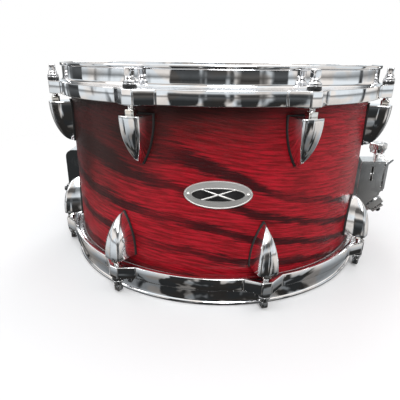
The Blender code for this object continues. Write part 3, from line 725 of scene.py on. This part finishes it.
def rod_hole(azimuth, level):
    centre = Vector((ROD_CIRCLE * math.sin(azimuth), -ROD_CIRCLE * math.cos(azimuth), 0))
    levels = (level(HOLE_TOP), level(HOLE_BOTTOM))
    return [[(centre.x + x, centre.y + y, z) for x, y in circle(EAR_HOLE, 24)] for z in levels]


def rectangle(low, high):
    """The four corners of a rectangle, in turn."""
    return [low, (high[0], low[1]), high, (low[0], high[1])]


def block(low, high, corner):
    """A box from low to high whose edges along X are rounded."""
    outline = softened(rectangle(low[1:], high[1:]), corner, True)
    return skin([[(x, y, z) for y, z in outline] for x in (low[0], high[0])], capped=True)


hoop_chrome = plated("hoop_chrome", (0.92, 0.92, 0.93), (0.80, 0.80, 0.81), 0.02, 0.06, 0.00010)
for row, bottom in ROWS:
    ears = ROD_AZIMUTHS[row]

    def level(depth, upward=bottom):
        return depth if upward else DRUM_HEIGHT - depth

    azimuths = {round(math.radians(step * 1.5), 6) for step in range(240)}
    for ear in ears:
        nearby = (ear + step * EAR_STEP for step in range(-EAR_STEPS, EAR_STEPS + 1))
        azimuths |= {round(azimuth % (2 * math.pi), 6) for azimuth in nearby}
    rings = []
    for azimuth in sorted(azimuths):
        profile = hoop_profile(band_reach(azimuth, ears))
        rings.append([(r * math.sin(azimuth), -r * math.cos(azimuth), level(depth)) for r, depth in profile])
    work = skin(rings, stack_closed=True)
    hoop = add_piece(
        f"{row}_cast_hoop", work, hoop_chrome, stands_for=[f"{row}_hoop"], sharp=45
    )
    for ear in ears:
        cut(hoop, skin(rod_hole(ear, level), capped=True), 45)
    if bottom:
        for low, high in ((GATE_INNER, GATE_OUTER), (-GATE_OUTER, -GATE_INNER)):
            gate = block((low, -GATE_HALF, GATE_TOP), (high, GATE_HALF, GATE_BOTTOM), GATE_ROUND)
            cut(hoop, gate, 45)


# Tension rods
# Steel rods, chromed, screwed into the swivel nuts: thread, shank, round flange with a domed shoulder, and
# square drive for a drum key. A black nylon washer and a thin steel one keep each flange off its ear.

ROD_RADIUS, ROD_END_DEPTH = 0.00275, 0.0575
THREAD_PITCH, THREAD_CUT = 0.00106, 0.00028
THREAD_START, THREAD_END = 0.0285, 0.0350
FLANGE_RADIUS, FLANGE_BOTTOM, FLANGE_TOP = 0.0052, 0.0136, 0.0119
SHOULDER_TOP, DRIVE_TOP, DRIVE_HALF = 0.0082, 0.0022, 0.0031
ROD_SIDES = 32
WASHER_HOLE, NYLON_OUTER, STEEL_OUTER = 0.0029, 0.0054, 0.0056
NYLON_BOTTOM, NYLON_TOP = BAND_DEPTH - 0.0001, 0.0145
STEEL_BOTTOM, STEEL_TOP = 0.01445, FLANGE_BOTTOM + 0.00005

rod_chrome = plated("rod_chrome", (0.88, 0.88, 0.89), (0.66, 0.66, 0.67), 0.06, 0.14)
nylon = mottled("black_nylon", (1200.0, 2.0), (0.005, 0.005, 0.005), (0.018, 0.018, 0.019), 0.28, 0.2)


def threaded(depth):
    """A ring of the rod at a depth, cut by a thread that climbs one pitch in a turn."""
    ring = []
    for side, (x, y) in enumerate(circle(1.0, ROD_SIDES)):
        climb = 2 * math.pi * (depth / THREAD_PITCH - side / ROD_SIDES)
        radius = ROD_RADIUS - THREAD_CUT * (0.5 - 0.5 * math.cos(climb))
        ring.append((radius * x, radius * y, -depth))
    return ring


def tension_rod():
    edge, tip = 0.0003, 0.0010
    end = [(ROD_RADIUS - tip, ROD_END_DEPTH), (ROD_RADIUS, ROD_END_DEPTH - tip), (ROD_RADIUS, THREAD_END)]
    head = [
        (ROD_RADIUS, THREAD_START), (ROD_RADIUS, FLANGE_BOTTOM), (FLANGE_RADIUS - edge, FLANGE_BOTTOM),
        (FLANGE_RADIUS, FLANGE_BOTTOM - edge), (FLANGE_RADIUS, FLANGE_TOP + edge),
        (FLANGE_RADIUS - edge, FLANGE_TOP), (0.0045, FLANGE_TOP - 0.0002), (0.0042, FLANGE_TOP - 0.0008),
        (0.0041, SHOULDER_TOP + 0.0016), (0.0038, SHOULDER_TOP + 0.0005), (0.0034, SHOULDER_TOP),
    ]
    drive = [
        (DRIVE_HALF, SHOULDER_TOP - 0.0001), (DRIVE_HALF, DRIVE_TOP + 0.0007),
        (DRIVE_HALF - 0.0002, DRIVE_TOP + 0.0002), (DRIVE_HALF - 0.0006, DRIVE_TOP),
    ]
    turns = round((THREAD_END - THREAD_START) / THREAD_PITCH * 6)
    rings = [[(x, y, -depth) for x, y in circle(radius, ROD_SIDES)] for radius, depth in end]
    rings += [threaded(THREAD_END - (THREAD_END - THREAD_START) * step / turns) for step in range(1, turns)]
    rings += [[(x, y, -depth) for x, y in circle(radius, ROD_SIDES)] for radius, depth in head]
    rings += [[(x, y, -depth) for x, y in rounded_square(half, ROD_SIDES, 9)] for half, depth in drive]
    return skin(rings, capped=True)


def washer(outer, low, high, corner):
    """A flat washer between two depths, its outer edges rounded."""
    return turned([
        (WASHER_HOLE, -low), *arc((outer - corner, -low + corner), corner, -90, 0),
        *arc((outer - corner, -high - corner), corner, 0, 90), (WASHER_HOLE, -high),
    ], 48)


for row, bottom in ROWS:
    for number, azimuth in zip(LUG_NUMBERS, ROD_AZIMUTHS[row]):
        rod, body = f"{row}_tension_rod_{number}", f"{row}_rod_{number}"
        work = seated(tension_rod(), azimuth, bottom, ROD_CIRCLE)
        add_piece(f"{rod}_screw", work, rod_chrome, body, [rod])
        work = seated(washer(NYLON_OUTER, NYLON_BOTTOM, NYLON_TOP, 0.0005), azimuth, bottom, ROD_CIRCLE)
        add_piece(f"{rod}_nylon_washer", work, nylon, body)
        work = seated(washer(STEEL_OUTER, STEEL_BOTTOM, STEEL_TOP, 0.0002), azimuth, bottom, ROD_CIRCLE)
        add_piece(f"{rod}_steel_washer", work, rod_chrome, body)


# Strainer
# A chromed throw-off on the drum's right. A backplate with two cheeks and a bridge is screwed to the shell; a
# knurled knob raises the carriage inside it, and the lever lets the strap clamp drop to free the snares.

def dress(node, finish, edge=0.0005, segments=3):
    """Keeps a CAD node as it is, with its edges broken and a finish of its own."""
    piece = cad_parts[node]
    piece.data.materials.clear()
    piece.data.materials.append(finish)
    if "custom_normal" in piece.data.attributes:
        piece.data.attributes.remove(piece.data.attributes["custom_normal"])
    piece.data.shade_smooth()
    weld = piece.modifiers.new("joined_faces", "WELD")
    weld.merge_threshold = 0.00001
    bevel = piece.modifiers.new("broken_edges", "BEVEL")
    bevel.width = edge
    bevel.segments = segments
    bevel.angle_limit = math.radians(34)
    bevel.harden_normals = True


strainer_chrome = plated("strainer_chrome", (0.94, 0.94, 0.94), (0.80, 0.80, 0.80), 0.16, 0.10)
knob_chrome = plated("knob_chrome", (0.86, 0.86, 0.86), (0.64, 0.63, 0.62), 0.12, 0.18)
clamp_steel = plated("blackened_steel", (0.12, 0.12, 0.125), (0.06, 0.06, 0.06), 0.18, 0.22, 0.00004)
for node, edge in (("strainer_base", 0.0006), ("strainer_carriage", 0.0004), ("strainer_lever", 0.0005),
                   ("strap_clamp_block", 0.0005), ("strap_clamp_jaw", 0.0004)):
    dress(node, strainer_chrome, edge)
for number in (1, 2):
    dress(f"strainer_screw_{number}", screw_steel, 0.0006)

knob_low, knob_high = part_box("strainer_knob")
knob_axis = (knob_low + knob_high) / 2
KNOB_RADIUS = (knob_high.y - knob_low.y) / 2
KNURLS, KNURL_DEPTH = 30, 0.00035
knob_levels = [
    (0.0013, knob_low.z), (0.0023, knob_low.z + 0.001), (0.0023, 0.0972), (0.0031, 0.0972), (0.0031, 0.1030),
    (0.0040, 0.1034), (0.0066, 0.1040), (0.0080, 0.1056), (0.0085, 0.1080), (0.0093, 0.1098),
    (0.0096, 0.1106), (KNOB_RADIUS, 0.1110), (KNOB_RADIUS, 0.1162), (0.0096, 0.1168), (0.0084, 0.1173),
    (0.0060, 0.1174), (0.0056, 0.1170), (0.0, 0.1170),
]
rings = []
for radius, height in knob_levels:
    ring = []
    for side in range(KNURLS * 4):
        turn = 2 * math.pi * side / (KNURLS * 4)
        groove = KNURL_DEPTH * (side % 4 in (0, 1)) if radius == KNOB_RADIUS else 0.0
        reach = radius - groove
        ring.append((knob_axis.x + reach * math.cos(turn), knob_axis.y + reach * math.sin(turn), height))
    rings.append(ring)
work = skin(rings, capped=True)
add_piece("knurled_knob", work, knob_chrome, "tension_knob", ["strainer_knob"])


def key_screw(node, axis, seat, height, body):
    """A keyed screw head where the CAD screw is, pointing along its axis."""
    axis = Vector(axis).normalized()
    work = pan_screw(KEY_SCREW_RADIUS, height, KEY_SCREW_RADIUS * 0.4, 0.009, 0.42, 6)
    work.transform(Matrix.Translation(seat) @ axis.to_track_quat("Z", "Y").to_matrix().to_4x4())
    add_piece(f"{node}_head", work, clamp_steel, body, [node])


STRAP_SLOPE = math.radians(38)
CLAMP_CENTRE = Vector((0.2050, 0.0, 0.0370))
strap_run = Vector((math.cos(STRAP_SLOPE), 0, math.sin(STRAP_SLOPE)))
strap_out = Vector((math.sin(STRAP_SLOPE), 0, -math.cos(STRAP_SLOPE)))
SCREW_SPREAD, KEY_SCREW_RADIUS = 0.0088, 0.0030
for number, side in ((1, -SCREW_SPREAD), (2, SCREW_SPREAD)):
    seat = CLAMP_CENTRE + strap_run * 0.001 + strap_out * 0.0032 + Vector((0, side, 0))
    key_screw(f"strap_clamp_screw_{number}", strap_out, seat, 0.0035, "strap_clamp")


# Butt plate
# A chromed casting opposite the strainer. Its jaw is drawn up by two screws and holds the other strap still.

BUTT_SCREW_SEAT = -0.1900

butt_chrome = plated("butt_chrome", (0.88, 0.88, 0.89), (0.72, 0.72, 0.73), 0.05, 0.12)
dress("butt_plate", butt_chrome, 0.0014, 4)
dress("butt_jaw", butt_chrome, 0.0004)
for number in (1, 2):
    dress(f"butt_mount_screw_{number}", screw_steel, 0.0006)
    low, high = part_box(f"butt_clamp_screw_{number}")
    seat = (BUTT_SCREW_SEAT, (low.y + high.y) / 2, (low.z + high.z) / 2)
    key_screw(f"butt_clamp_screw_{number}", (-1, 0, 0), seat, 0.0034, "drum")


# Snares
# Twenty coils of steel wire soldered to two perforated end plates lie across the lower head. Each plate is
# pulled by a strip of white polyester that passes through a gate in the hoop, and is held at its far end.

STRAP_HALF, STRAP_THICKNESS = 0.0070, 0.0005
PLATE_INNER, PLATE_OUTER, PLATE_HALF = 0.1280, 0.1390, 0.0300
PLATE_LOW, PLATE_HIGH = 0.0118, 0.0130
SLOT_PLACE, SLOT_SPREAD, SLOT_WIDTH, SLOT_LENGTH = 0.1352, 0.0065, 0.0012, 0.0045
COILS, COIL_TURNS, COIL_STEPS = 20, 120, 8
COIL_SPACING, COIL_RADIUS, WIRE_RADIUS, COIL_HEIGHT = 0.0029, 0.00055, 0.00016, 0.0128

polyester = mottled(
    "white_polyester_strap", (160.0, 4.0), (0.66, 0.66, 0.63), (0.86, 0.86, 0.83), 0.25, 0.25, 0.0001
)
snare_steel = plated("snare_steel", (0.74, 0.73, 0.71), (0.50, 0.49, 0.46), 0.16, 0.18, 0.00002)


def smooth_path(points, count):
    """A curve through the points, with this many steps between each two."""
    path = []
    padded = [points[0], *points, points[-1]]
    for four in zip(padded, padded[1:], padded[2:], padded[3:]):
        for share in (step / count for step in range(count)):
            point = []
            for a, b, c, d in zip(*four):
                squared, cubed = 2 * a - 5 * b + 4 * c - d, 3 * b - a - 3 * c + d
                point.append(0.5 * (2 * b + (c - a) * share + squared * share**2 + cubed * share**3))
            path.append(tuple(point))
    return [*path, points[-1]]


def ribbon(path, sign):
    """A flat strip along a path of (x, z) points, its edges a little thinner than its middle."""
    edge, shoulder = STRAP_HALF, STRAP_HALF - 0.0002
    section = [(-edge, 0.12), (-shoulder, 0.5), (shoulder, 0.5), (edge, 0.12),
               (edge, -0.12), (shoulder, -0.5), (-shoulder, -0.5), (-edge, -0.12)]
    rings = []
    for place, (x, z) in enumerate(path):
        before, after = path[max(place - 1, 0)], path[min(place + 1, len(path) - 1)]
        run = Vector((after[0] - before[0], after[1] - before[1])).normalized() * STRAP_THICKNESS
        rings.append([(sign * (x - run.y * lift), y, z + run.x * lift) for y, lift in section])
    return skin(rings, capped=True)


clamp_run = [(CLAMP_CENTRE + strap_run * ahead) for ahead in (-0.0360, -0.0180, 0.0, 0.0130)]
under = [(0.1300, 0.0112), (0.1440, 0.0112), (0.1580, 0.0112), (0.1660, 0.0108), (0.1705, 0.0103)]
strainer_path = smooth_path([*under, (0.1735, 0.0118), *[(point.x, point.z) for point in clamp_run]], 4)
butt_path = smooth_path([
    *under, (0.1760, 0.0120), (0.1835, 0.0200), (0.18665, 0.0300), (0.18665, 0.0400), (0.18665, 0.0630)
], 4)
work = ribbon(strainer_path, 1)
strap = add_piece("strainer_strap_strip", work, polyester, "drum", ["strainer_strap"])
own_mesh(strap)
add_piece("butt_strap_strip", ribbon(butt_path, -1), polyester, "drum", ["butt_strap"])

start, end = -PLATE_INNER - 0.003, PLATE_INNER + 0.003
round_coil = 2 * math.pi * COIL_RADIUS
for number in range(COILS):
    across = COIL_SPACING * (number - (COILS - 1) / 2)
    rings = []
    for step in range(COIL_TURNS * COIL_STEPS + 1):
        turn = 2 * math.pi * step / COIL_STEPS
        out = Vector((0, math.cos(turn), math.sin(turn)))
        run = Vector(((end - start) / COIL_TURNS, -round_coil * out.z, round_coil * out.y)).normalized()
        side = run.cross(out)
        middle = start + (end - start) * step / (COIL_TURNS * COIL_STEPS)
        centre = Vector((middle, across, COIL_HEIGHT)) + out * COIL_RADIUS
        corners = [(math.cos(angle), math.sin(angle)) for angle in (0.8, 2.4, 3.9, 5.5)]
        rings.append([centre + (out * x + side * y) * WIRE_RADIUS for x, y in corners])
    add_piece(f"snare_coil_{number + 1}", skin(rings, capped=True), snare_steel, sharp=80)

for number, sign in ((1, 1), (2, -1)):
    low, high = sorted((sign * PLATE_INNER, sign * PLATE_OUTER))
    outline = softened(rectangle((low, -PLATE_HALF), (high, PLATE_HALF)), 0.0015, True)
    work = skin([[(x, y, z) for x, y in outline] for z in (PLATE_LOW, PLATE_HIGH)], capped=True)
    nodes = ["snare_wires"] if number == 1 else ()
    plate = add_piece(f"snare_end_plate_{number}", work, snare_steel, stands_for=nodes)
    for side in (-1, 1):
        x, y = sign * SLOT_PLACE, side * SLOT_SPREAD
        corners = rectangle((x - SLOT_WIDTH, y - SLOT_LENGTH), (x + SLOT_WIDTH, y + SLOT_LENGTH))
        slot = softened(corners, 0.0010, True)
        levels = (PLATE_LOW - 0.001, PLATE_HIGH + 0.001)
        cut(plate, skin([[(x, y, z) for x, y in slot] for z in levels], capped=True))


# Studio
# A pale floor that fades into a white surround, soft lamps, and the camera. The surround that the chrome
# mirrors is made of upright columns, dark and light by turns, as a room with doors and windows is.

scene = bpy.context.scene
scene.view_settings.view_transform = "Standard"

paper, tree, shader = new_finish("pale_floor", Roughness=0.75)
place = object_point(tree)
colour = blended(tree, noise(tree, place, 3.0), (0.74, 0.74, 0.75), (0.78, 0.78, 0.79))
tree.links.new(colour, shader.inputs["Base Color"])
fade = stepped(tree, axis_distance(tree, place), 0.30, 0.85, 1.0, 0.0)
above = maths(tree, "SUBTRACT", 1.0, add_node(tree, "NewGeometry").outputs["Backfacing"])
tree.links.new(maths(tree, "MULTIPLY", fade, above), shader.inputs["Alpha"])
work = bmesh.new()
bmesh.ops.create_circle(work, cap_ends=True, segments=96, radius=1.2)
floor_mesh = bpy.data.meshes.new("floor")
work.to_mesh(floor_mesh)
work.free()
floor_mesh.materials.append(paper)
floor = bpy.data.objects.new("floor", floor_mesh)
scene.collection.objects.link(floor)
floor.location.z = -0.0005
floor.visible_glossy = False

world = bpy.data.worlds.new("studio")
world.use_nodes = True
scene.world = world
tree = world.node_tree
background = tree.nodes["Background"]
direction = add_node(tree, "TexCoord").outputs["Generated"]
aim = add_node(tree, "SeparateXYZ", {0: direction}).outputs


def by_height(levels):
    """A brightness for each height in the surround, from straight down at 0 to straight up at 1."""
    ramp = add_node(tree, "ValToRGB", {0: maths(tree, "MULTIPLY_ADD", aim["Z"], 0.5, 0.5)})
    while len(ramp.color_ramp.elements) < len(levels):
        ramp.color_ramp.elements.new(1.0)
    for element, (share, level) in zip(ramp.color_ramp.elements, levels):
        element.position = share
        element.color = (level, level, level, 1.0)
    return ramp.outputs[0]


DARK_COLUMN = (
    (0.00, 0.02), (0.40, 0.03), (0.47, 0.10), (0.50, 0.04), (0.53, 0.10), (0.56, 0.80), (0.60, 0.60),
    (0.64, 0.10), (0.70, 0.12), (0.74, 1.0), (1.0, 1.1),
)
LIGHT_COLUMN = (
    (0.00, 0.12), (0.25, 0.22), (0.34, 0.70), (0.45, 0.85), (0.48, 0.25), (0.50, 0.95), (0.60, 0.90),
    (0.66, 0.30), (0.70, 0.30), (0.74, 1.0), (1.0, 1.1),
)
WARM_TINT, COOL_TINT = (1.0, 0.95, 0.90), (0.90, 0.96, 1.0)

lowered = maths(tree, "MULTIPLY", aim["Z"], 0.10)
flattened = add_node(tree, "CombineXYZ", {0: aim["X"], 1: aim["Y"], 2: lowered}).outputs[0]
sideways = maths(tree, "ABSOLUTE", aim["X"])
columns = maths(tree, "MULTIPLY_ADD", sideways, 0.20, noise(tree, flattened, 4.2, 2.0, 0.5))
light = stepped(tree, columns, 0.575, 0.665)
mirrored = blended(tree, light, by_height(DARK_COLUMN), by_height(LIGHT_COLUMN))
tints = blended(tree, stepped(tree, noise(tree, direction, 3.5, 0.0), 0.42, 0.58), WARM_TINT, COOL_TINT)
multiplied = {"data_type": "RGBA", "blend_type": "MULTIPLY"}
mirrored = add_node(tree, "Mix", {0: 1.0, 6: mirrored, 7: tints}, **multiplied).outputs[2]
seen = add_node(tree, "LightPath").outputs["Is Camera Ray"]
tree.links.new(blended(tree, seen, mirrored, (1.0, 1.0, 1.0)), background.inputs["Color"])


def add_lamp(name, place, target, size, power):
    lamp = bpy.data.lights.new(name, "AREA")
    lamp.shape = "DISK"
    lamp.size = size
    lamp.energy = power
    holder = bpy.data.objects.new(name, lamp)
    holder.location = place
    holder.rotation_euler = (Vector(target) - Vector(place)).to_track_quat("-Z", "Y").to_euler()
    scene.collection.objects.link(holder)


MIDDLE = (0, 0, 0.10)
add_lamp("key_lamp", (0.25, -1.6, 1.35), MIDDLE, 1.0, 22)
add_lamp("fill_lamp", (-1.5, -0.6, 1.0), MIDDLE, 0.9, 5)
add_lamp("top_lamp", (0.1, 0.4, 2.0), MIDDLE, 1.4, 5)
add_lamp("back_lamp", (0.3, 1.9, 1.2), MIDDLE, 1.0, 12)

CAMERA_PLACE, CAMERA_TILT, CAMERA_ROLL = (-0.0195, -0.4559, 0.2103), math.radians(69.26), math.radians(0.63)
CAMERA_SWING = math.radians(1.5)

camera = bpy.data.objects.new("camera", bpy.data.cameras.new("camera"))
camera.data.lens = 33.35
camera.data.sensor_width = 36.0
camera.data.clip_start = 0.01
camera.matrix_world = (
    Matrix.Rotation(CAMERA_SWING, 4, "Z") @ Matrix.Translation(CAMERA_PLACE)
    @ Matrix.Rotation(CAMERA_TILT, 4, "X") @ Matrix.Rotation(CAMERA_ROLL, 4, "Z")
)
scene.collection.objects.link(camera)
scene.camera = camera
